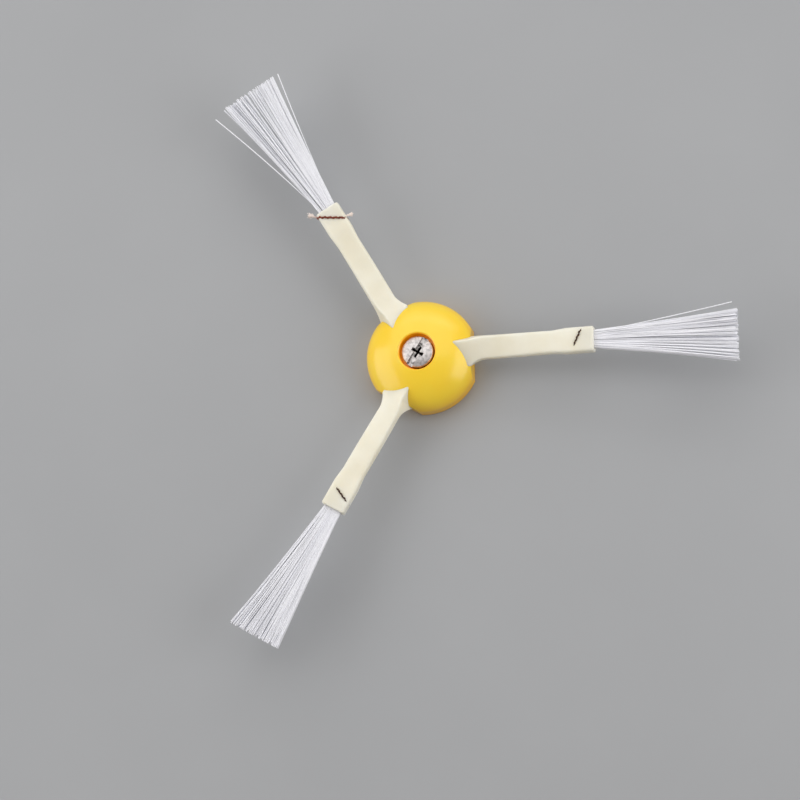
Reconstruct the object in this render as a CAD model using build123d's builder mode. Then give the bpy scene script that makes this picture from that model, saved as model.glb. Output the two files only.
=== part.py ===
"""Side brush of a robot vacuum: a domed hub, a screw, three rubber arms, bristle tufts and stitches.

Lengths are in millimetres. The origin is on the drive axis at the hub's base, Z points out of the
dome, and the first arm lies along X.
"""

import os
from math import cos, pi, radians, sin, tan

from build123d import *

# Whole brush
arm_count = 3

# Hub: a dome on a short upright skirt, with one flat facing each arm
hub_radius = 14.2
skirt_height = 3.5
dome_rise = 8.0
flat_depth = 1.5
hub_wall = 1.8
boss_radius = 6.2
rib_thickness = 1.2
rib_lift = 0.9
base_chamfer = 0.35

# Screw seat and drive socket on the hub's axis
seat_radius = 4.6
seat_floor = 8.0
seat_rim_chamfer = 0.3
web_thickness = 2.6
socket_width = 7.0
socket_corner = 0.8

# Screw
head_radius = 4.0
head_height = 2.2
head_edge_chamfer = 0.25
slot_width = 1.7
slot_depth = 0.6
slot_angle = 57.0
cross_length = 3.3
cross_width = 0.85
cross_depth = 1.7
cross_draft = 12.0
shoulder_radius = 2.2
shoulder_clearance = 0.15
screw_end_radius = 2.0
screw_end_length = 4.6
screw_end_chamfer = 0.4

# Arm: a thin blade, pitched at the hub, that untwists and thickens into a sleeve
blade_width = 6.25
blade_height = 2.2
waist_width = 5.7
waist_height = 2.6
waist_station = 34.0
sleeve_width = 6.3
sleeve_height = 3.2
sleeve_start = 37.5
sleeve_end = 44.3
sleeve_end_chamfer = 0.3
blade_corner = 0.8
arm_rise = 5.0
arm_axis_height = 6.75
arm_offset = 0.3
root_pitch = 24.0
root_overlap = 5.2
root_lift = 4.5
root_side_flare = 0.9
root_top_flare = 1.95
root_tip_inset = 0.5
root_flare_length = 4.2
root_corner = 0.5

# Anchor of the arm: a foot on the flat, a tang through it and a wide head behind it
foot_thickness = 1.6
foot_overlap = 0.8
foot_corner = 0.6
foot_draft = 20.0
tang_width = 4.4
tang_height = 2.4
tang_lift = 1.9
anchor_overlap = 1.3
anchor_lip = 0.7
anchor_thickness = 1.6

# Pocket in the sleeve and the fused butt of the bristles
pocket_width = 4.7
pocket_height = 1.5
pocket_depth = 7.0
pocket_corner = 0.4
butt_length = 4.5

# Bristles, fanned from the butt to the trimmed tips
bristle_radius = 0.12
bristle_columns = 11
bristle_rows = 4
bristle_overlap = 0.5
root_spread = 2.9
stray_root = 1.0
row_root_spread = 0.87
row_tip_spread = 1.6
tip_wander = 0.2

# Each tuft's reach from the drive axis, width and side lean at the tips, and sides of its stray tips
tip_radii = (79.4, 81.4, 80.8)
fan_widths = (12.6, 15.2, 13.8)
fan_leans = (-1.8, 1.3, -1.5)
stray_sides = ((6.5,), (12.4, -7.8), (-8.4,))

# Stitch thread
thread_radius = 0.2
thread_proud = 0.08
stitch_station = 40.1
stitch_slant = 26.0
stitch_inner_edge = -1.7
tied_station = 41.4
tied_slant = 34.0
tail_radius = 0.16
tail_lift = 0.7
left_tail_length = 2.6
left_tail_slant = 50.0
right_tail_length = 2.3
right_tail_slant = 25.0

arm_step = 360.0 / arm_count
flat_distance = hub_radius - flat_depth
hollow_radius = hub_radius - hub_wall
hollow_rise = dome_rise - hub_wall
flare_end = flat_distance + root_flare_length
foot_height = root_lift + foot_overlap - tang_lift
sleeve_length = (sleeve_end - sleeve_start) / cos(radians(arm_rise))
stitch_half_width = sleeve_width / 2 + thread_proud


def arm_plane(station):
    """Plane across the arm's axis at a distance from the drive axis, X to the arm's left, Y up."""
    origin = (station, arm_offset, arm_axis_height + station * tan(radians(arm_rise)))
    lean = (cos(radians(arm_rise)), 0, sin(radians(arm_rise)))
    return Plane(origin=origin, x_dir=(0, 1, 0), z_dir=lean)


def cut_flats(radius, distance):
    """Cut a flat across each arm's direction from the part being built."""
    with PolarLocations(distance, arm_count):
        Box(
            radius,
            2 * radius,
            4 * radius,
            align=(Align.MIN, Align.CENTER, Align.CENTER),
            mode=Mode.SUBTRACT,
        )


def blend(station, start, end, first, last):
    """Value that runs from first to last between two stations and stays level outside them."""
    share = min(max((station - start) / (end - start), 0), 1)
    return first + (last - first) * share


def blade_section(station):
    """Cross-section of the arm: a rounded bar with an upright right side, pitched and flared at the hub."""
    untwist = blend(station, flat_distance, sleeve_start, 1, 0) ** 1.5
    flare = blend(station, flat_distance, flare_end, 1, 0) ** 2
    width = blend(station, flare_end, waist_station, blade_width, waist_width)
    height = blend(station, flare_end, waist_station, blade_height, waist_height)
    width += blend(station, waist_station, sleeve_start, 0, sleeve_width - waist_width)
    height += blend(station, waist_station, sleeve_start, 0, sleeve_height - waist_height)
    corner = blade_corner + (root_corner - blade_corner) * untwist
    pitch = radians(root_pitch * untwist)
    slope = Vector(cos(pitch), sin(pitch))
    left = slope * width / 2
    up = Vector(-sin(pitch), cos(pitch)) * height / 2
    top_left = up + left - Vector(root_tip_inset * flare, 0)
    top_right = up - left + slope * (height * tan(pitch) - root_top_flare * flare)
    low_left = left - up
    low_right = -left - up
    floor = root_lift - arm_axis_height - flat_distance * tan(radians(arm_rise))
    low_left += Vector(root_side_flare, floor - low_left.Y) * flare
    low_right += Vector(-root_side_flare, floor - low_right.Y) * flare
    with BuildSketch(arm_plane(station)) as section:
        with BuildLine():
            Polyline(low_right, low_left, top_left, top_right, close=True)
        make_face()
        fillet(section.vertices(), corner)
    return section


def slanted_plane(station, slant):
    """Upright plane across the sleeve at a slant, X to the arm's left, Y up."""
    across = arm_plane(station)
    leaning = across.z_dir * sin(radians(slant)) + across.x_dir * cos(radians(slant))
    return Plane(across.origin, x_dir=leaning, z_dir=leaning.cross(across.y_dir))


def stitch_thread(station, slant, inner_edge):
    """Closed loop of thread from an inner edge round the left side of the sleeve, partly sunk."""
    plane = slanted_plane(station, slant)
    left = stitch_half_width / cos(radians(slant))
    right = inner_edge / cos(radians(slant))
    top = sleeve_height / 2 + thread_proud
    with BuildPart() as thread:
        with BuildLine(plane) as loop:
            Polyline((left, -top), (left, top), (right, top), (right, -top), close=True)
        with BuildSketch(Plane(loop.wire() @ 0, x_dir=plane.z_dir, z_dir=loop.wire() % 0)):
            RegularPolygon(thread_radius, 8)
        sweep(path=loop.wire(), transition=Transition.RIGHT)
    return thread


def tail_plane(side, slant):
    """Plane of a loose end that leaves the tied stitch to one side, slanted towards the tips."""
    across = arm_plane(tied_station)
    start = (side * stitch_half_width / cos(radians(tied_slant)), tail_lift)
    outward = across.x_dir * side * cos(radians(slant)) + across.z_dir * sin(radians(slant))
    return Plane(slanted_plane(tied_station, tied_slant).from_local_coords(start), z_dir=outward)


def bristle_tuft(tip_radius, lean, fan_width, strays):
    """Fan of straight bristles and strays fused into a butt that fills the bottom of the pocket."""
    floor = arm_plane(sleeve_end).offset(-pocket_depth)
    root_height = butt_length - bristle_overlap
    tip_height = pocket_depth + (tip_radius - sleeve_end) / cos(radians(arm_rise))
    ends = []
    for row in range(bristle_rows):
        row_place = row / (bristle_rows - 1) - 0.5
        stagger = (row % 2 - 0.5) / (2 * bristle_columns)
        for column in range(bristle_columns):
            place = column / (bristle_columns - 1) - 0.5 + stagger
            wander = tip_wander * sin(2.4 * column + 4.1 * row)
            root = Vector(place * root_spread, row_place * row_root_spread, root_height)
            tip = Vector(place * fan_width + lean + wander, row_place * row_tip_spread, tip_height)
            ends.append((root, tip))
    for side in strays:
        root_side = stray_root if side > 0 else -stray_root
        ends.append((Vector(root_side, 0, root_height), Vector(side, 0, tip_height)))
    with BuildPart() as tuft:
        for root, tip in ends:
            start = floor.from_local_coords(root)
            with BuildSketch(Plane(start, z_dir=floor.from_local_coords(tip) - start)):
                RegularPolygon(bristle_radius, 6)
        extrude(amount=tip_radius - sleeve_end + pocket_depth)
        split(bisect_by=floor.offset(tip_height), keep=Keep.BOTTOM)
        with BuildSketch(floor):
            RectangleRounded(pocket_width, pocket_height, pocket_corner)
        extrude(amount=butt_length)
    return tuft


# Outer form of the hub, also the form that the arms are moulded against
with BuildPart() as envelope:
    with BuildSketch(Plane.XZ):
        with BuildLine():
            Line((0, 0), (hub_radius, 0))
            Line((hub_radius, 0), (hub_radius, skirt_height))
            EllipticalCenterArc((0, skirt_height), hub_radius, dome_rise, start_angle=0, arc_size=90)
            Line((0, skirt_height + dome_rise), (0, 0))
        make_face()
    revolve(axis=Axis.Z)
    cut_flats(hub_radius, flat_distance)

# Hollow below the dome in straight drafts, kept clear of the boss and of a rib between the arms
drafts = [
    (hollow_radius * cos(angle), skirt_height + hollow_rise * sin(angle))
    for angle in (0, pi / 6, pi / 3)
]
with BuildPart() as hollow:
    with BuildSketch(Plane.XZ):
        with BuildLine():
            Polyline((0, 0), (hollow_radius, 0), *drafts, (0, drafts[-1][1]), close=True)
        make_face()
    revolve(axis=Axis.Z)
    cut_flats(hub_radius, flat_distance - hub_wall)
    Cylinder(boss_radius, 4 * hub_radius, mode=Mode.SUBTRACT)
    with Locations((0, 0, rib_lift)):
        with PolarLocations(0, arm_count, start_angle=arm_step / 2):
            Box(
                hub_radius,
                rib_thickness,
                hub_radius,
                align=(Align.MIN, Align.CENTER, Align.MIN),
                mode=Mode.SUBTRACT,
            )

with BuildPart() as hub:
    add(envelope.part)
    chamfer(hub.edges().group_by(Axis.Z)[0], base_chamfer)
    add(hollow.part, mode=Mode.SUBTRACT)
    # screw seat from above
    with Locations((0, 0, seat_floor)):
        Cylinder(
            seat_radius,
            hub_radius,
            align=(Align.CENTER, Align.CENTER, Align.MIN),
            mode=Mode.SUBTRACT,
        )
    chamfer(hub.edges().group_by(Axis.Z)[-1], seat_rim_chamfer)
    # screw hole through the web
    Cylinder(shoulder_radius + shoulder_clearance, 2 * hub_radius, mode=Mode.SUBTRACT)
    # square drive socket from below
    with BuildSketch(Plane.XY):
        RectangleRounded(socket_width, socket_width, socket_corner)
    extrude(amount=seat_floor - web_thickness, mode=Mode.SUBTRACT)
    # window for the tang of each arm
    with PolarLocations(flat_distance, arm_count):
        with Locations((0, 0, tang_lift)):
            Box(
                3 * hub_wall,
                tang_width,
                tang_height,
                align=(Align.CENTER, Align.CENTER, Align.MIN),
                mode=Mode.SUBTRACT,
            )
hub.part.label = "hub"

with BuildPart() as screw:
    with Locations((0, 0, seat_floor)):
        Cylinder(head_radius, head_height, align=(Align.CENTER, Align.CENTER, Align.MIN))
    chamfer(screw.edges().group_by(Axis.Z)[-1], head_edge_chamfer)
    with Locations((0, 0, seat_floor)):
        Cylinder(shoulder_radius, web_thickness, align=(Align.CENTER, Align.CENTER, Align.MAX))
    with Locations((0, 0, seat_floor - web_thickness)):
        Cylinder(screw_end_radius, screw_end_length, align=(Align.CENTER, Align.CENTER, Align.MAX))
    chamfer(screw.edges().group_by(Axis.Z)[0], screw_end_chamfer)
    # coin slot across the head
    with Locations(Location((0, 0, seat_floor + head_height), (0, 0, slot_angle))):
        Box(
            3 * head_radius,
            slot_width,
            slot_depth,
            align=(Align.CENTER, Align.CENTER, Align.MAX),
            mode=Mode.SUBTRACT,
        )
    # tapered cross recess in the middle of the slot
    with BuildSketch(Plane.XY.offset(seat_floor + head_height)):
        with Locations(Location((0, 0, 0), (0, 0, slot_angle))):
            Rectangle(cross_length, cross_width)
            Rectangle(cross_width, cross_length)
    extrude(amount=-cross_depth, taper=cross_draft, mode=Mode.SUBTRACT)
screw.part.label = "screw"

# Blade of an arm before its stitch: root against the hub, twisted blade, pocketed sleeve
flare_stations = [flat_distance + root_flare_length * step / 5 for step in range(6)]
blade_stations = [flare_end + (waist_station - flare_end) * step / 4 for step in range(1, 5)]
stations = [flat_distance - root_overlap, *flare_stations, *blade_stations, sleeve_start]
with BuildPart() as blade:
    loft([blade_section(station).sketch for station in stations], ruled=True)
    extrude(blade_section(sleeve_start).sketch, amount=sleeve_length)
    chamfer(blade.faces().sort_by(Axis.X)[-1].edges(), sleeve_end_chamfer)
    add(envelope.part, mode=Mode.SUBTRACT)
    with BuildSketch(Plane((flat_distance, 0, tang_lift), x_dir=(0, 1, 0), z_dir=(1, 0, 0))):
        with Locations((0, foot_height / 2)):
            RectangleRounded(tang_width, foot_height, foot_corner)
    extrude(amount=foot_thickness, taper=foot_draft)
    with Locations((flat_distance, 0, tang_lift)):
        Box(
            hub_wall,
            tang_width,
            tang_height,
            align=(Align.MAX, Align.CENTER, Align.MIN),
        )
    with Locations((flat_distance - hub_wall, 0, tang_lift - anchor_lip)):
        Box(
            anchor_thickness,
            tang_width + 2 * anchor_overlap,
            tang_height + 2 * anchor_lip,
            align=(Align.MAX, Align.CENTER, Align.MIN),
        )
    with BuildSketch(arm_plane(sleeve_end)):
        RectangleRounded(pocket_width, pocket_height, pocket_corner)
    extrude(amount=-pocket_depth, mode=Mode.SUBTRACT)

# A stitch through the sleeve, and a stitch tied round the whole sleeve with two loose ends
plain_stitch = stitch_thread(stitch_station, stitch_slant, stitch_inner_edge)
with BuildPart() as tied_stitch:
    add(stitch_thread(tied_station, tied_slant, -stitch_half_width).part)
    with BuildSketch(tail_plane(1, left_tail_slant)):
        RegularPolygon(tail_radius, 6)
    extrude(amount=left_tail_length)
    with BuildSketch(tail_plane(-1, right_tail_slant)):
        RegularPolygon(tail_radius, 6)
    extrude(amount=right_tail_length)

os.makedirs("parts", exist_ok=True)
export_step(hub.part, "parts/hub.step")
export_step(screw.part, "parts/screw.step")

stitches = (plain_stitch, tied_stitch, plain_stitch)
for index in range(arm_count):
    turn = index * arm_step
    with BuildPart() as arm:
        add(blade.part)
        add(stitches[index].part, mode=Mode.SUBTRACT)
    fan = bristle_tuft(tip_radii[index], fan_leans[index], fan_widths[index], stray_sides[index])
    with BuildPart() as tuft:
        add(fan.part)
        add(stitches[index].part, mode=Mode.SUBTRACT)
    arm_part = arm.part.rotate(Axis.Z, turn)
    tuft_part = tuft.part.rotate(Axis.Z, turn)
    thread_part = stitches[index].part.rotate(Axis.Z, turn)
    arm_part.label = f"arm_{index + 1}"
    tuft_part.label = f"bristle_tuft_{index + 1}"
    thread_part.label = f"stitch_thread_{index + 1}"
    export_step(arm_part, f"parts/{arm_part.label}.step")
    export_step(tuft_part, f"parts/{tuft_part.label}.step")
    export_step(thread_part, f"parts/{thread_part.label}.step")
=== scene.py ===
"""Looks of a robot vacuum side brush: a domed hub, a screw, three rubber arms, bristles and stitches.

Lengths are in millimetres in the brush's own frame, and turn into metres where they reach Blender. The
first arm lies along X, Z points out of the dome, and the floor is at the hub's base.
"""

from math import cos, exp, hypot, pi, radians, sin, sqrt, tan
from random import Random

import bmesh
import bpy
from mathutils import Matrix, Vector


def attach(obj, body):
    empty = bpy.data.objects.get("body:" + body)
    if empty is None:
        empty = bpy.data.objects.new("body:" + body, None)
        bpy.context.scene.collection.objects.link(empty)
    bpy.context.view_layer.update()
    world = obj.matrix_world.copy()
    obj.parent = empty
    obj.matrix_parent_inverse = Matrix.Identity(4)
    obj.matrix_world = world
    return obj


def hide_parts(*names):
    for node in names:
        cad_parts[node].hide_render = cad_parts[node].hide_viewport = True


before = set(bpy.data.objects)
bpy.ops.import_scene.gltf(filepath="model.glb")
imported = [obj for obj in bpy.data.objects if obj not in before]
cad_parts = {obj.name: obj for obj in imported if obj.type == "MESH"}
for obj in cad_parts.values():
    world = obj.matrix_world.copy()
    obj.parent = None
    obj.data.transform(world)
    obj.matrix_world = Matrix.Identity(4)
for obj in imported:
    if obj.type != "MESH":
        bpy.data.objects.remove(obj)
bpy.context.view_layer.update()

MM = 0.001

# Hub, as far as the arms and the screw meet it
hub_radius = 14.2
skirt_height = 3.5
dome_rise = 8.0
hub_wall = 1.8
flat_depth = 1.5
flat_distance = hub_radius - flat_depth
seat_radius = 4.6
seat_floor = 8.0
web_thickness = 2.6

# Arms: a blade, pitched and flared at the hub, that untwists and thickens into a sleeve
arm_count = 3
arm_rise = radians(5)
arm_axis_height = 6.75
arm_offset = 0.3
root_overlap = 5.2
root_start = flat_distance - root_overlap
root_sink = 0.5
root_pitch = radians(24)
root_lift = 4.5
root_side_flare = 0.9
root_top_flare = 1.95
root_tip_inset = 0.5
root_corner = 0.5
root_flare_length = 4.2
flare_end = flat_distance + root_flare_length
flare_ease = 2
twist_ease = 1.5
blade_width = 6.25
blade_height = 2.2
blade_corner = 0.8
waist_station = 34.0
waist_width = 5.7
waist_height = 2.6
sleeve_start = 37.5
sleeve_end = 44.3
sleeve_width = 6.3
sleeve_height = 3.2
sleeve_edge = 0.4
mouth_width = 4.7
mouth_height = 1.5
mouth_corner = 0.4
mouth_lip = 0.2
mouth_depth = 3.0

# Anchor of an arm: a foot on the hub's flat, a tang through it and a wide head behind it
foot_thickness = 1.6
foot_overlap = 0.8
foot_draft = 0.58
foot_edge = 0.25
tang_width = 4.4
tang_height = 2.4
tang_lift = 1.9
anchor_overlap = 1.3
anchor_lip = 0.7
anchor_thickness = 1.6
anchor_edge = 0.3

# Fineness of the arms: steps along each stretch, over a rounded edge, and round an outline
root_steps = 30
flare_steps = 18
blade_steps = 26
sleeve_steps = 30
edge_steps = 5
outline_corner_steps = 6
outline_side_steps = 6

# Bristles of each tuft, fanned from the mouth of the sleeve to the trimmed tips
bristle_radius = 0.11
bristle_sides = 6
bristle_steps = 7
bristle_count = 190
bristle_jitter = (0.1, 0.9)
clump_count = 17
clump_widths = (0.3, 2.0)
clump_pull = 0.7
clump_bias = 1.5
tuft_root_width = 4.3
tuft_root_thickness = 1.2
tuft_root_scatter = 0.2
layer_bias = 0.4
tip_thickness = 1.4
tip_scatter = 0.1
tip_curl = 0.1
trim_scatter = 0.9
trim_bias = 2
fan_bend = 0.16

# Each tuft's random seed, reach from the drive axis, width and side lean at the tips, the side that is
# thicker with bristles, left as positive, and its strays' sides and reach
tuft_seeds = (5, 6, 7)
tip_radii = (79.4, 81.4, 80.8)
fan_widths = (12.7, 15.3, 13.8)
fan_leans = (-1.8, 1.3, -1.5)
fan_skews = (0.3, -0.5, 0.1)
stray_tips = (((6.4, 78.1),), ((12.0, 80.2), (-7.7, 81.3)), ((-8.2, 79.6),))
stray_root = 1.7
stray_radius = 0.14
stray_tint = 1.0

# Stitches: a plain one through the sleeve, and one tied round the whole sleeve
stitch_proud = 0.08
stitch_sunk = 0.18
stitch_step = 0.12
stitch_twist = 1.5
stitch_wave_turn = 0.55
stitch_corner_steps = 5
stitch_dent = 0.1
dent_width = 0.45
plain_station = 40.1
plain_slant = radians(26)
plain_inner_edge = -1.7
plain_corner = 2.2
plain_radius = 0.24
plain_wave = 0.11
tied_station = 41.4
tied_slant = radians(34)
tied_inner_edge = -sleeve_width
tied_corner = 1.5
tied_radius = 0.3
tied_wave = 0.12

# Plies of a stitch's thread, their sizes as shares of its radius
ply_count = 2
ply_offset = 0.45
ply_radius = 0.55
ply_sides = 8

# Loose ends of the tied stitch, which start as thread and fray into single fibres
tail_lift = 0.7
left_tail_length = 2.6
left_tail_slant = radians(50)
left_tail_shift = 0.0
left_tail_paleness = 0.25
right_tail_length = 1.8
right_tail_slant = radians(-20)
right_tail_shift = 0.8
right_tail_paleness = 0.9
tail_whole_share = 0.6
tail_steps = 12
fray_seed = 3
fray_fibres = 70
fray_radius = 0.07
fray_sides = 5
fray_steps = 6
fray_spread = 0.34
fray_starts = (0.2, 0.5)
fray_reaches = (0.2, 0.4)
fray_bend_share = 0.55
fray_bow = 0.5
fray_paleness = 1.0

# Screw thread below the hub's web, which fades over its lead-in to its least depth, a share of the whole,
# and the distance that welds the head's points and clears its cut
thread_top = seat_floor - web_thickness
thread_length = 4.6
thread_crest = 2.0
thread_root = 1.62
thread_pitch = 0.8
thread_lead_in = 0.5
thread_least_depth = 0.1
thread_rows = 92
thread_columns = 40
weld_distance = 0.001

# Hub's colour: heights between which its yellow pales from the painted shade at the rim, from the rim up,
# how softly painted shade deepens its seat, and how strongly that seat glows with painted light
rim_deep = 1.5
rim_pale = 7.0
seat_blend = 0.2
seat_painted_glow = 0.2

# Heights on the screw between which the painted shade of its recess and lower parts ends, and how far they
# wander
recess_dark = 9.35
recess_light = 9.58
painted_shade_wander = 0.7

# Angle from which an edge stays sharp, and the samples that round an edge off softly
sharp_angle = radians(50)
bevel_samples = 6

# Camera: its distance from the hub, its tilt from the drive axis, its turn and roll about it, how far it
# moves to its right and up, and its lens
camera_distance = 600.0
camera_tilt = radians(16.136)
camera_turn = radians(-45.51)
camera_roll = radians(-1.026)
camera_aside = (-6.36, -10.07)
camera_lens = 106.96
camera_sensor = 36.0

# Floor, and the distances from the drive axis between which it fades into the backdrop
floor_half = 4000.0
floor_whole = 200.0
floor_gone = 700.0

# Colours of the backdrop and of the weak warm light that comes from all round
backdrop = (0.391, 0.397, 0.407, 1.0)
sky_fill = (0.155, 0.135, 0.115, 1.0)

# Soft boxes that face the hub: their place, width and height, and their power in watts
soft_boxes = {
    "key": ((-50, 550, 850), 1700, 1200, 7.5),
    "back_box": ((150, 1000, 450), 1600, 500, 2.4),
    "left_box": ((-800, -100, 400), 900, 700, 4.6),
    "right_box": ((800, -100, 400), 700, 700, 4.3),
}

# Sockets of a Mix node for colours: its share and two colours, and its result
MIX_INPUTS = (0, 6, 7)
MIX_RESULT = 2


class Draft:
    """Points, faces and a tint for each point of a piece that is being made."""

    def __init__(self):
        self.points = []
        self.faces = []
        self.tints = []

    def add_rings(self, rings, tint=0.0):
        """Closed skin over rings of equal length, with one tint or a function of the share of the way."""
        first = len(self.points)
        count = len(rings[0])
        last = first + (len(rings) - 1) * count
        for index, ring in enumerate(rings):
            self.points += ring
            self.tints += [tint(index / (len(rings) - 1)) if callable(tint) else tint] * count
        for row in range(len(rings) - 1):
            for column in range(count):
                low = first + row * count + column
                beside = first + row * count + (column + 1) % count
                self.faces.append((low, beside, beside + count, low + count))
        self.faces.append(tuple(range(first + count - 1, first - 1, -1)))
        self.faces.append(tuple(range(last, last + count)))

    def add_tube(self, path, radius, sides, tint=0.0):
        """Round tube along a path."""
        angles = [2 * pi * side / sides for side in range(sides)]
        rings = []
        for point, (across, beside) in zip(path, path_frames(path)):
            rings.append([point + (across * cos(a) + beside * sin(a)) * radius for a in angles])
        self.add_rings(rings, tint)


def path_frames(path):
    """Two directions across a path at each of its points, carried along without a twist."""
    frames = []
    across = None
    for index in range(len(path)):
        ahead = (path[min(index + 1, len(path) - 1)] - path[max(index - 1, 0)]).normalized()
        guess = across if across is not None else ahead.orthogonal()
        across = (guess - ahead * guess.dot(ahead)).normalized()
        frames.append((across, ahead.cross(across)))
    return frames


def curve(start, bend, end, steps):
    """Points of a curve that leaves its start towards a bend and reaches its end from there."""
    shares = [step / steps for step in range(steps + 1)]
    return [start.lerp(bend, share).lerp(bend.lerp(end, share), share) for share in shares]


def rounded_path(corners, radius):
    """Path of a stitch through corners that are rounded off."""
    knots = [corners[0]]
    for before, corner, after in zip(corners, corners[1:], corners[2:]):
        start = corner + (before - corner).normalized() * min(radius, (before - corner).length / 2)
        end = corner + (after - corner).normalized() * min(radius, (after - corner).length / 2)
        knots += curve(start, corner, end, stitch_corner_steps)
    knots.append(corners[-1])
    path = [knots[0]]
    for first, second in zip(knots, knots[1:]):
        pieces = max(1, round((second - first).length / stitch_step))
        path += [first.lerp(second, (piece + 1) / pieces) for piece in range(pieces)]
    return path


def add_object(name, data):
    """New object in the scene."""
    thing = bpy.data.objects.new(name, data)
    bpy.context.scene.collection.objects.link(thing)
    return thing


def add_piece(name, draft, material, nodes):
    """Object of a draft, smooth, riding on the brush and standing for CAD nodes."""
    mesh = bpy.data.meshes.new(name)
    mesh.from_pydata([point * MM for point in draft.points], [], draft.faces)
    mesh.update()
    tint = mesh.attributes.new("tint", "FLOAT", "POINT")
    tint.data.foreach_set("value", draft.tints)
    mesh.shade_smooth()
    mesh.set_sharp_from_angle(angle=sharp_angle)
    mesh.materials.append(material)
    piece = add_object(name, mesh)
    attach(piece, "root")
    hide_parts(*nodes)


def linear(red, green, blue):
    """Colour for a shader from its 0 to 255 screen values."""
    screen = [channel / 255 for channel in (red, green, blue)]
    return (*[c / 12.92 if c < 0.04045 else ((c + 0.055) / 1.055) ** 2.4 for c in screen], 1.0)


def add_node(tree, kind, inputs=(), **settings):
    """New shader node with its settings and its linked or constant inputs."""
    node = tree.nodes.new(f"ShaderNode{kind}")
    for setting, value in settings.items():
        setattr(node, setting, value)
    for socket, value in dict(inputs).items():
        if isinstance(value, bpy.types.NodeSocket):
            tree.links.new(value, node.inputs[socket])
        else:
            node.inputs[socket].default_value = value
    return node


def add_mix(tree, share, first, second, blend_type="MIX"):
    """Colour between two colours, as a node's output."""
    inputs = zip(MIX_INPUTS, (share, first, second))
    return add_node(tree, "Mix", inputs, data_type="RGBA", blend_type=blend_type).outputs[MIX_RESULT]


class Material:
    """A shader whose colour, roughness and bump come from textures in the brush's own space."""

    def __init__(self, name, constants=()):
        self.material = bpy.data.materials.new(name)
        self.material.use_nodes = True
        self.tree = self.material.node_tree
        self.shader = self.tree.nodes["Principled BSDF"]
        for socket, value in dict(constants).items():
            self.shader.inputs[socket].default_value = value
        self.place = self.node("TexCoord").outputs["Object"]

    def node(self, kind, inputs=(), **settings):
        """New node of this material."""
        return add_node(self.tree, kind, inputs, **settings)

    def noise(self, scale, detail):
        """Noise pattern with a number of waves a metre."""
        inputs = {"Vector": self.place, "Scale": scale, "Detail": detail}
        return self.node("TexNoise", inputs).outputs["Fac"]

    def tint(self):
        """Tint that a piece carries at its points."""
        return self.node("Attribute", attribute_name="tint").outputs["Fac"]

    def ramp(self, value, dark, light, start=0.3, end=0.7):
        """Colour from a dark to a light one between two places of a value."""
        node = self.node("ValToRGB", {"Fac": value})
        for element, place, colour in zip(node.color_ramp.elements, (start, end), (dark, light)):
            element.position = place
            element.color = colour
        return node.outputs["Color"]

    def span(self, value, low, high):
        """Value spread over another range."""
        return self.node("MapRange", {"Value": value, "To Min": low, "To Max": high}).outputs["Result"]

    def mix(self, share, first, second, blend_type="MIX"):
        """Colour between two colours."""
        return add_mix(self.tree, share, first, second, blend_type)

    def bump(self, height, distance, strength, edge=0.0):
        """Surface relief from a height, on top of softly rounded edges where they have a radius."""
        inputs = {"Height": height, "Distance": distance * MM, "Strength": strength}
        if edge:
            rounded = self.node("Bevel", {"Radius": edge * MM}, samples=bevel_samples)
            inputs["Normal"] = rounded.outputs["Normal"]
        self.link("Normal", self.node("Bump", inputs).outputs["Normal"])

    def height(self):
        """Height above the floor."""
        return self.node("SeparateXYZ", {"Vector": self.place}).outputs["Z"]

    def radius(self):
        """Distance from the drive axis."""
        place = self.node("SeparateXYZ", {"Vector": self.place}).outputs
        across = self.node("CombineXYZ", {"X": place["X"], "Y": place["Y"]}).outputs["Vector"]
        return self.node("VectorMath", {"Vector": across}, operation="LENGTH").outputs["Value"]

    def rise(self, value, start, end):
        """Nothing up to a start and one from an end on, for a value and two lengths."""
        inputs = {"Value": value, "From Min": start * MM, "From Max": end * MM}
        return self.node("MapRange", inputs).outputs["Result"]

    def combine(self, operation, first, second):
        """Two values multiplied, added or the like."""
        return self.node("Math", {0: first, 1: second}, operation=operation).outputs["Value"]

    def glow(self, share, reach, shares):
        """Light that seeps through the material, as far as a reach for each of red, green and blue."""
        self.shader.inputs["Subsurface Weight"].default_value = share
        self.shader.inputs["Subsurface Scale"].default_value = reach * MM
        self.shader.inputs["Subsurface Radius"].default_value = shares

    def link(self, socket, value):
        """Drive one of the shader's sockets."""
        self.tree.links.new(value, self.shader.inputs[socket])


def hub_plastic():
    """Glossy yellow moulded plastic with faint flow clouds and a fine skin, painted shade that deepens it
    towards the rim and in its seat, and a painted glow in that seat.
    """
    constants = {
        "Coat Weight": 0.5,
        "Coat Roughness": 0.16,
        "Specular IOR Level": 0.3,
        # Colour of the painted glow in the seat
        "Emission Color": linear(255, 146, 0),
    }
    look = Material("hub_plastic", constants)
    look.glow(share=0.1, reach=0.6, shares=(1.0, 0.6, 0.2))
    clouds = look.noise(scale=90, detail=4)
    pale = look.ramp(clouds, linear(255, 212, 48), linear(255, 219, 62))
    # Painted shade: towards the rim the yellow deepens to amber, as it would in shade
    painted_shade_amber = look.ramp(clouds, linear(252, 184, 8), linear(255, 193, 14))
    yellow = look.mix(look.rise(look.height(), rim_deep, rim_pale), painted_shade_amber, pale)
    # Painted shade: a deeper orange in the seat
    seat_painted_shade = look.ramp(clouds, linear(250, 164, 6), linear(255, 176, 14))
    inside = look.rise(look.radius(), seat_radius + seat_blend, seat_radius)
    above = look.rise(look.height(), seat_floor - seat_blend, seat_floor)
    seat = look.combine("MULTIPLY", inside, above)
    look.link("Base Color", look.mix(seat, yellow, seat_painted_shade))
    # Painted light: the seat glows as if light seeped through the plastic into it
    look.link("Emission Strength", look.span(seat, 0, seat_painted_glow))
    look.link("Roughness", look.span(look.noise(scale=700, detail=2), 0.32, 0.42))
    look.bump(look.noise(scale=1900, detail=2), distance=0.012, strength=0.25, edge=0.12)
    return look.material


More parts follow.
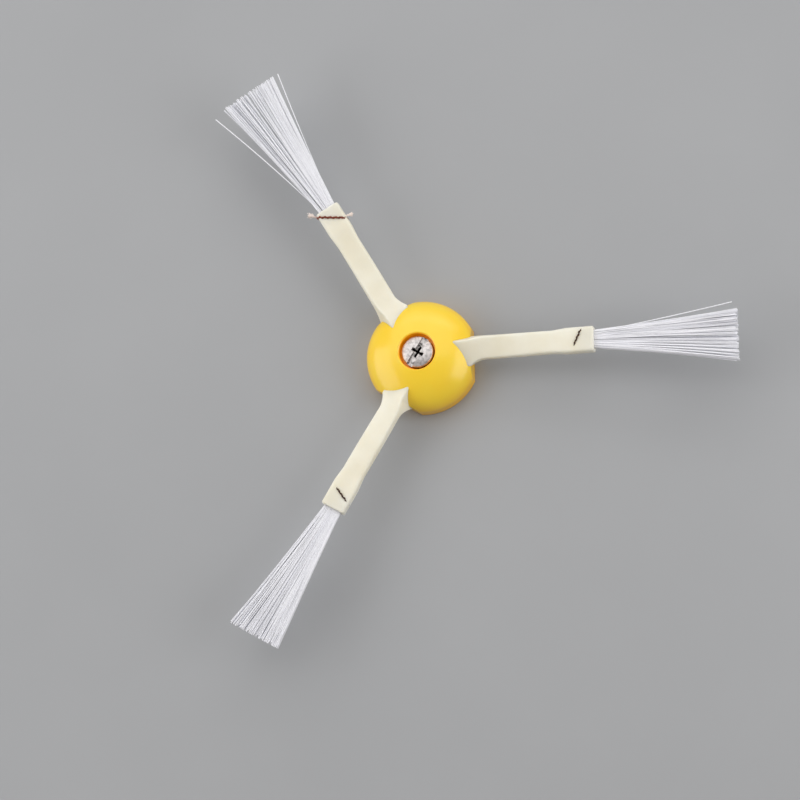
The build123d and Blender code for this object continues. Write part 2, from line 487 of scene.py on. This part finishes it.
def arm_rubber():
    """Cream soft rubber with a satin skin and faint uneven tone."""
    look = Material("arm_rubber")
    look.glow(share=0.6, reach=2.0, shares=(1.0, 0.95, 0.85))
    clouds = look.noise(scale=130, detail=4)
    look.link("Base Color", look.ramp(clouds, linear(233, 228, 209), linear(241, 238, 224)))
    look.link("Roughness", look.span(look.noise(scale=900, detail=3), 0.42, 0.55))
    look.bump(look.noise(scale=1500, detail=4), distance=0.02, strength=0.35)
    return look.material


def bristle_nylon():
    """Cool white nylon filament, each one a little lighter or greyer."""
    look = Material("bristle_nylon")
    white = look.ramp(look.tint(), linear(236, 237, 243), linear(249, 250, 255), start=0.0, end=1.0)
    streaks = look.noise(scale=2600, detail=2)
    veil = look.ramp(streaks, linear(242, 242, 244), linear(255, 255, 255))
    look.link("Base Color", look.mix(0.6, white, veil, "MULTIPLY"))
    look.link("Roughness", look.span(streaks, 0.3, 0.45))
    look.bump(streaks, distance=0.004, strength=0.3)
    return look.material


def stitch_thread(name, dark, light):
    """Twisted thread between two tones that frays to pale ends."""
    look = Material(name, {"Sheen Weight": 0.1})
    fibres = look.noise(scale=5200, detail=3)
    brown = look.ramp(fibres, dark, light, start=0.36, end=0.62)
    pale = look.ramp(fibres, linear(242, 222, 212), linear(255, 250, 246))
    look.link("Base Color", look.mix(look.tint(), brown, pale))
    look.link("Roughness", look.span(fibres, 0.75, 0.95))
    look.bump(fibres, distance=0.05, strength=0.6)
    return look.material


def screw_metal():
    """Nickel plate with a faint grain, duller patches, and painted shade in its recess and over its lower
    parts.
    """
    look = Material("screw_metal", {"Metallic": 1.0})
    grain = look.noise(scale=1500, detail=5)
    nickel = look.ramp(grain, linear(166, 161, 158), linear(206, 200, 197), start=0.34, end=0.56)
    # Painted shade: everything below a wandering height near the recess floor turns dark
    wander = look.span(look.noise(scale=1100, detail=3), -painted_shade_wander * MM, painted_shade_wander * MM)
    above_painted_shade = look.rise(look.combine("ADD", look.height(), wander), recess_dark, recess_light)
    look.link("Base Color", look.mix(above_painted_shade, linear(34, 30, 28), nickel))
    look.link("Roughness", look.span(look.noise(scale=1600, detail=4), 0.34, 0.52))
    look.bump(look.noise(scale=2400, detail=3), distance=0.02, strength=0.3, edge=0.1)
    return look.material


def floor_paint():
    """Pale grey matt paint with a faint mottle, which fades into the backdrop far from the brush."""
    look = Material("floor_paint", {"Roughness": 0.85})
    mottle = look.noise(scale=14, detail=4)
    look.link("Base Color", look.ramp(mottle, linear(164, 166, 169), linear(168, 170, 173)))
    look.bump(look.noise(scale=700, detail=3), distance=0.02, strength=0.2)
    fade = look.rise(look.radius(), floor_whole, floor_gone)
    clear = look.node("BsdfTransparent").outputs["BSDF"]
    surface = look.node("MixShader", {0: fade, 1: look.shader.outputs["BSDF"], 2: clear})
    look.tree.links.new(surface.outputs["Shader"], look.tree.nodes["Material Output"].inputs["Surface"])
    return look.material


def blend(station, start, end, first, last):
    """Value that runs from first to last between two stations and stays level outside them."""
    share = min(max((station - start) / (end - start), 0), 1)
    return first + (last - first) * share


def arm_point(station, side, up):
    """Point of the first arm from its place along, to the left of and above the arm's axis."""
    axis = Vector((station, arm_offset, arm_axis_height + station * tan(arm_rise)))
    return axis + Vector((-sin(arm_rise) * up, side, cos(arm_rise) * up))


def rounded_ring(corners, radius):
    """Points round an outline with rounded corners."""
    ring = []
    count = len(corners)
    for index, corner in enumerate(corners):
        after = corners[(index + 1) % count]
        to_last = (corners[index - 1] - corner).normalized()
        to_next = (after - corner).normalized()
        reach = radius / tan(to_last.angle(to_next) / 2)
        end = corner + to_next * reach
        ring += curve(corner + to_last * reach, corner, end, outline_corner_steps)
        following = (corners[(index + 2) % count] - after).normalized()
        side_end = after - to_next * (radius / tan((-to_next).angle(following) / 2))
        ring += [end.lerp(side_end, step / outline_side_steps) for step in range(1, outline_side_steps)]
    return ring


def rectangle_ring(width, height, corner):
    """Points round a rounded rectangle, from its low right corner."""
    x, y = width / 2, height / 2
    return rounded_ring([Vector((-x, -y)), Vector((x, -y)), Vector((x, y)), Vector((-x, y))], corner)


def blade_ring(station):
    """Points round the arm: a rounded bar, upright on its right, pitched and flared at the hub."""
    untwist = blend(station, flat_distance, sleeve_start, 1, 0) ** twist_ease
    flare = blend(station, flat_distance, flare_end, 1, 0) ** flare_ease
    width = blend(station, flare_end, waist_station, blade_width, waist_width)
    height = blend(station, flare_end, waist_station, blade_height, waist_height)
    width += blend(station, waist_station, sleeve_start, 0, sleeve_width - waist_width)
    height += blend(station, waist_station, sleeve_start, 0, sleeve_height - waist_height)
    pitch = root_pitch * untwist
    slope = Vector((cos(pitch), sin(pitch)))
    left = slope * width / 2
    up = Vector((-sin(pitch), cos(pitch))) * height / 2
    top_left = up + left - Vector((root_tip_inset * flare, 0))
    top_right = up - left + slope * (height * tan(pitch) - root_top_flare * flare)
    low_left = left - up
    low_right = -left - up
    root_low = root_lift - arm_axis_height - flat_distance * tan(arm_rise)
    low_left += Vector((root_side_flare, root_low - low_left.y)) * flare
    low_right += Vector((-root_side_flare, root_low - low_right.y)) * flare
    corner = blade_corner + (root_corner - blade_corner) * untwist
    return rounded_ring([low_right, low_left, top_left, top_right], corner)


def under_hub(point):
    """Point of an arm's root, brought up to just below the hub's skin where it is deeper inside."""
    dome = skirt_height + dome_rise * sqrt(max(0, 1 - (hypot(point.x, point.y) / hub_radius) ** 2))
    below_dome = dome - root_sink - point.z
    behind_flat = flat_distance - root_sink - point.x
    if below_dome <= 0 or behind_flat <= 0:
        return point
    if below_dome < behind_flat:
        return point + Vector((0, 0, below_dome))
    return point + Vector((behind_flat, 0, 0))


def dent(station, side, up, stitch, slant, inner_edge):
    """Height above the arm's axis, pressed in along a stitch."""
    away = (station - stitch - side * tan(slant)) * cos(slant)
    hold = 1 if side > inner_edge else exp(-((side - inner_edge) / dent_width) ** 2)
    depth = stitch_dent * hold * exp(-((away / dent_width) ** 2))
    return up - depth if up > 0 else up + depth


def stations_along(start, end, steps):
    """Stations evenly along a stretch, without its end."""
    return [start + (end - start) * step / steps for step in range(steps)]


def blade_rings(stitch, slant, inner_edge):
    """Rings along an arm from its root in the hub to its sleeve, which its stitch presses in."""
    straight_end = sleeve_end - sleeve_edge
    stations = stations_along(root_start, flat_distance, root_steps)
    stations += stations_along(flat_distance, flare_end, flare_steps)
    stations += stations_along(flare_end, sleeve_start, blade_steps)
    stations += stations_along(sleeve_start, straight_end, sleeve_steps)
    stations.append(straight_end)
    rings = []
    for station in stations:
        ring = []
        for side, up in blade_ring(station):
            pressed = dent(station, side, up, stitch, slant, inner_edge)
            ring.append(under_hub(arm_point(station, side, pressed)))
        rings.append(ring)
    return rings


def mouth_rings():
    """Rings of the sleeve's rounded end, then of the lip and the inside of its mouth."""
    outlines = []
    for step in range(1, edge_steps + 1):
        turn = step / edge_steps * pi / 2
        inset = 2 * sleeve_edge * (1 - cos(turn))
        outline = rectangle_ring(sleeve_width - inset, sleeve_height - inset, blade_corner - inset / 2)
        outlines.append((sleeve_end - sleeve_edge * (1 - sin(turn)), outline))
    for step in range(edge_steps + 1):
        turn = step / edge_steps * pi / 2
        inset = 2 * mouth_lip * (1 - sin(turn))
        outline = rectangle_ring(mouth_width + inset, mouth_height + inset, mouth_corner + inset / 2)
        outlines.append((sleeve_end - mouth_lip * (1 - cos(turn)), outline))
    outlines.append((sleeve_end - mouth_depth, rectangle_ring(mouth_width, mouth_height, mouth_corner)))
    return [[arm_point(station, side, up) for side, up in outline] for station, outline in outlines]


def level_rings(sections, middle, corner):
    """Rings of a level bar along X round a middle height, from its reach, width and height at each ring."""
    rings = []
    for reach, width, height in sections:
        outline = rectangle_ring(width, height, corner)
        rings.append([Vector((reach, side, middle + up)) for side, up in outline])
    return rings


def anchor_rings():
    """Rings of the wide head behind the hub's flat and of the tang through it."""
    width = tang_width + 2 * anchor_overlap
    height = tang_height + 2 * anchor_lip
    front = flat_distance - hub_wall
    back = front - anchor_thickness
    sections = [
        (back, width - 2 * anchor_edge, height - 2 * anchor_edge),
        (back + anchor_edge, width, height),
        (front, width, height),
        (front, tang_width, tang_height),
        (flat_distance, tang_width, tang_height),
    ]
    return level_rings(sections, tang_lift + tang_height / 2, anchor_edge)


def foot_rings():
    """Rings of the root's foot on the outside of the hub's flat."""
    height = root_lift + foot_overlap - tang_lift
    front = flat_distance + foot_thickness
    insets = [
        (flat_distance - root_sink, 0),
        (flat_distance, 0),
        (front - foot_edge, foot_draft),
        (front, foot_draft + foot_edge),
    ]
    sections = [(reach, tang_width - 2 * inset, height - 2 * inset) for reach, inset in insets]
    return level_rings(sections, tang_lift + height / 2, foot_edge)


def turned(draft, index):
    """The draft of the first arm's piece, moved to another arm."""
    turn = Matrix.Rotation(2 * pi * index / arm_count, 3, "Z")
    draft.points = [turn @ point for point in draft.points]
    return draft


def arm_draft(index, stitch, slant, inner_edge):
    """One arm: its root on the hub, its blade, its sleeve with the open mouth, and its anchor."""
    draft = Draft()
    draft.add_rings(blade_rings(stitch, slant, inner_edge) + mouth_rings())
    draft.add_rings(anchor_rings())
    draft.add_rings(foot_rings())
    return turned(draft, index)


def bristle_path(root, tip, tip_station):
    """Path of a bristle, straight in the sleeve and opening gently, from its places aside and above."""
    (root_side, root_up), (tip_side, tip_up) = root, tip
    path = [arm_point(sleeve_end - mouth_depth, root_side, root_up)]
    for step in range(bristle_steps + 1):
        share = step / bristle_steps
        opening = share * (1 - fan_bend) + share * share * fan_bend
        side = root_side + (tip_side - root_side) * opening
        up = root_up + (tip_up - root_up) * opening
        path.append(arm_point(sleeve_end + (tip_station - sleeve_end) * share, side, up))
    return path


def clumps(chance):
    """Edges of uneven clumps from -0.5 to 0.5 across a fan, and how strongly each draws together."""
    widths = [chance.uniform(*clump_widths) for _ in range(clump_count)]
    edges = [sum(widths[:count]) / sum(widths) - 0.5 for count in range(clump_count + 1)]
    pulls = [clump_pull * chance.random() ** clump_bias for _ in range(clump_count)]
    return edges, pulls


def within(value, half):
    """Value kept to a half width on either side."""
    return min(max(value, -half), half)


def tuft_draft(index):
    """Fan of bristles in uneven clumps, with a few loose ones beside it."""
    chance = Random(tuft_seeds[index])
    edges, pulls = clumps(chance)
    fan_width = fan_widths[index]
    draft = Draft()
    for count in range(bristle_count):
        share = (count + chance.uniform(*bristle_jitter)) / bristle_count
        place = share + fan_skews[index] * share * (1 - share) - 0.5
        clump = max(number for number in range(clump_count) if edges[number] <= place)
        middle = (edges[clump] + edges[clump + 1]) / 2
        gathered = place + (middle - place) * pulls[clump]
        layer = chance.choice((-0.5, 0.5)) * chance.random() ** layer_bias
        scattered = place * tuft_root_width + chance.gauss(0, tuft_root_scatter)
        root_side = within(scattered, tuft_root_width / 2)
        spread = within(gathered * fan_width + chance.gauss(0, tip_scatter), fan_width / 2)
        tip_station = tip_radii[index] - trim_scatter * chance.random() ** trim_bias
        root = (root_side, layer * tuft_root_thickness)
        tip = (fan_leans[index] + spread, layer * tip_thickness)
        path = bristle_path(root, tip, tip_station)
        path[-1].y += chance.gauss(0, tip_curl)
        draft.add_tube(path, bristle_radius, bristle_sides, chance.random())
    for tip_side, tip_station in stray_tips[index]:
        root_side = stray_root if tip_side > 0 else -stray_root
        path = bristle_path((root_side, 0), (tip_side, 0), tip_station)
        draft.add_tube(path, stray_radius, bristle_sides, stray_tint)
    return turned(draft, index)


def slanted_points(station, slant, places):
    """Points across the sleeve at a slant, from places to the side of and above the arm's axis."""
    return [arm_point(station + side * tan(slant), side, up) for side, up in places]


def wavy_path(path, size):
    """Path that swings to and fro along the arm, less towards its two ends."""
    wavy = []
    for index, point in enumerate(path):
        swing = sin(index * stitch_wave_turn) * sin(pi * index / (len(path) - 1))
        wavy.append(point + Vector((size, 0, 0)) * swing)
    return wavy


def add_yarn(draft, path, radius, tint=0.0):
    """Plies twisted round each other along a path."""
    frames = path_frames(path)
    walked = [0.0]
    for first, second in zip(path, path[1:]):
        walked.append(walked[-1] + (second - first).length)
    for ply in range(ply_count):
        strand = []
        for point, (across, beside), length in zip(path, frames, walked):
            turn = 2 * pi * (length / stitch_twist + ply / ply_count)
            strand.append(point + (across * cos(turn) + beside * sin(turn)) * radius * ply_offset)
        draft.add_tube(strand, radius * ply_radius, ply_sides, tint)


def add_tail(draft, chance, side, length, slant, shift, paleness):
    """Loose end of the tied thread, left for a side of 1 and right for -1, that frays into fibres."""
    place = (side * (sleeve_width / 2 - stitch_proud), tail_lift)
    start = slanted_points(tied_station + shift, tied_slant, [place])[0]
    outward = arm_point(sin(slant), side * cos(slant), 0) - arm_point(0, 0, 0)
    whole_end = start + outward * length * tail_whole_share
    yarn = [start.lerp(whole_end, step / tail_steps) for step in range(tail_steps + 1)]
    add_yarn(draft, yarn, tied_radius, lambda share: paleness + (1 - paleness) * share)
    for _ in range(fray_fibres):
        spread = Vector([chance.gauss(0, fray_spread) for _ in range(3)])
        begin = whole_end - outward * chance.uniform(*fray_starts)
        tip = whole_end + (outward + spread) * length * chance.uniform(*fray_reaches)
        bend = begin.lerp(tip, fray_bend_share) + spread.cross(outward) * fray_bow
        draft.add_tube(curve(begin, bend, tip, fray_steps), fray_radius, fray_sides, fray_paleness)


def plain_stitch_draft():
    """Stitch that goes through the sleeve and round its left side."""
    left = sleeve_width / 2 - stitch_sunk
    right = plain_inner_edge
    top = sleeve_height / 2 + stitch_proud
    places = [(right, 0), (right, top), (left, top), (left, -top), (right, -top), (right, 0)]
    path = rounded_path(slanted_points(plain_station, plain_slant, places), plain_corner)
    draft = Draft()
    add_yarn(draft, wavy_path(path, plain_wave), plain_radius)
    return draft


def tied_stitch_draft():
    """Stitch tied round the whole sleeve in a wavy line, with a frayed end on each side."""
    left = sleeve_width / 2 + stitch_proud
    right = stitch_sunk - sleeve_width / 2
    top = sleeve_height / 2 + stitch_proud
    places = [(0, -top), (left, -top), (left, top), (right, top), (right, -top), (0, -top)]
    path = rounded_path(slanted_points(tied_station, tied_slant, places), tied_corner)
    draft = Draft()
    add_yarn(draft, wavy_path(path, tied_wave), tied_radius)
    chance = Random(fray_seed)
    add_tail(draft, chance, 1, left_tail_length, left_tail_slant, left_tail_shift, left_tail_paleness)
    add_tail(draft, chance, -1, right_tail_length, right_tail_slant, right_tail_shift, right_tail_paleness)
    return draft


def thread_rings():
    """Rings of the screw's thread, which fades towards both of its ends."""
    rings = []
    for row in range(thread_rows + 1):
        height = thread_top - thread_length * row / thread_rows
        to_end = min(thread_top - height, height - thread_top + thread_length)
        fade = min(max(to_end / thread_lead_in, thread_least_depth), 1)
        ring = []
        for column in range(thread_columns):
            turn = 2 * pi * column / thread_columns
            wave = abs(2 * ((height / thread_pitch - column / thread_columns) % 1) - 1)
            radius = thread_root + (thread_crest - thread_root) * wave * fade
            ring.append(Vector((radius * cos(turn), radius * sin(turn), height)))
        rings.append(ring)
    return rings


def screw_draft():
    """The screw's head and shoulder as they are, and its end with a real thread."""
    shape = bmesh.new()
    shape.from_mesh(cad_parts["screw"].data)
    bmesh.ops.remove_doubles(shape, verts=shape.verts, dist=weld_distance * MM)
    cut = (thread_top - weld_distance) * MM
    plain_end = [face for face in shape.faces if face.calc_center_median().z < cut]
    bmesh.ops.delete(shape, geom=plain_end, context="FACES")
    shape.verts.index_update()
    draft = Draft()
    draft.points = [vertex.co / MM for vertex in shape.verts]
    draft.faces = [tuple(vertex.index for vertex in face.verts) for face in shape.faces]
    draft.tints = [0.0] * len(draft.points)
    shape.free()
    draft.add_rings(thread_rings())
    return draft


def add_soft_box(name, place, width, height, power):
    """Area light that faces the hub."""
    lamp = bpy.data.lights.new(name, "AREA")
    lamp.shape = "RECTANGLE"
    lamp.size = width * MM
    lamp.size_y = height * MM
    lamp.energy = power
    light = add_object(name, lamp)
    light.location = Vector(place) * MM
    light.rotation_euler = (-Vector(place)).to_track_quat("-Z", "Y").to_euler()


def add_floor():
    """Wide pale floor that the hub stands on."""
    half = floor_half * MM
    corners = [(-half, -half, 0), (half, -half, 0), (half, half, 0), (-half, half, 0)]
    mesh = bpy.data.meshes.new("floor")
    mesh.from_pydata(corners, [], [(0, 1, 2, 3)])
    mesh.materials.append(floor_paint())
    floor = add_object("floor", mesh)


def add_world():
    """Weak warm light from all round, seen and mirrored as a pale backdrop."""
    world = bpy.data.worlds.new("studio")
    world.use_nodes = True
    tree = world.node_tree
    rays = add_node(tree, "LightPath").outputs
    seen = rays["Is Camera Ray"]
    for kind in ("Is Glossy Ray", "Is Transmission Ray"):
        seen = add_node(tree, "Math", {0: seen, 1: rays[kind]}, operation="MAXIMUM").outputs["Value"]
    sky = add_mix(tree, seen, sky_fill, backdrop)
    tree.links.new(sky, tree.nodes["Background"].inputs["Color"])
    bpy.context.scene.world = world


def add_camera():
    """Camera above the hub, leaning towards the gap between the first and the third arm."""
    aside = sin(camera_tilt)
    toward = Vector((aside * cos(camera_turn), aside * sin(camera_turn), cos(camera_tilt)))
    right = Vector((-sin(camera_roll), cos(camera_roll), 0)).cross(toward).normalized()
    up = toward.cross(right)
    place = toward * camera_distance + right * camera_aside[0] + up * camera_aside[1]
    lens = bpy.data.cameras.new("camera")
    lens.lens = camera_lens
    lens.sensor_width = camera_sensor
    camera = add_object("camera", lens)
    facing = Matrix((right, up, toward)).transposed().to_4x4()
    camera.matrix_world = Matrix.Translation(place * MM) @ facing
    bpy.context.scene.camera = camera


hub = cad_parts["hub"]
hub.data.materials.clear()
hub.data.materials.append(hub_plastic())
hub.data.shade_smooth()

add_piece("screw_piece", screw_draft(), screw_metal(), ["screw"])

rubber = arm_rubber()
nylon = bristle_nylon()
dark_thread = stitch_thread("dark_thread", linear(16, 7, 3), linear(78, 38, 18))
red_thread = stitch_thread("red_thread", linear(40, 15, 9), linear(160, 72, 46))
plain_stitch = (plain_stitch_draft, dark_thread, plain_station, plain_slant, plain_inner_edge)
tied_stitch = (tied_stitch_draft, red_thread, tied_station, tied_slant, tied_inner_edge)
for index, stitch in enumerate((plain_stitch, tied_stitch, plain_stitch)):
    number = index + 1
    stitch_draft, thread, station, slant, inner_edge = stitch
    arm = arm_draft(index, station, slant, inner_edge)
    add_piece(f"rubber_arm_{number}", arm, rubber, [f"arm_{number}"])
    add_piece(f"bristles_{number}", tuft_draft(index), nylon, [f"bristle_tuft_{number}"])
    loop = turned(stitch_draft(), index)
    add_piece(f"stitch_{number}", loop, thread, [f"stitch_thread_{number}"])

add_floor()
add_world()
for name, box in soft_boxes.items():
    add_soft_box(name, *box)
add_camera()
bpy.context.scene.view_settings.view_transform = "Standard"
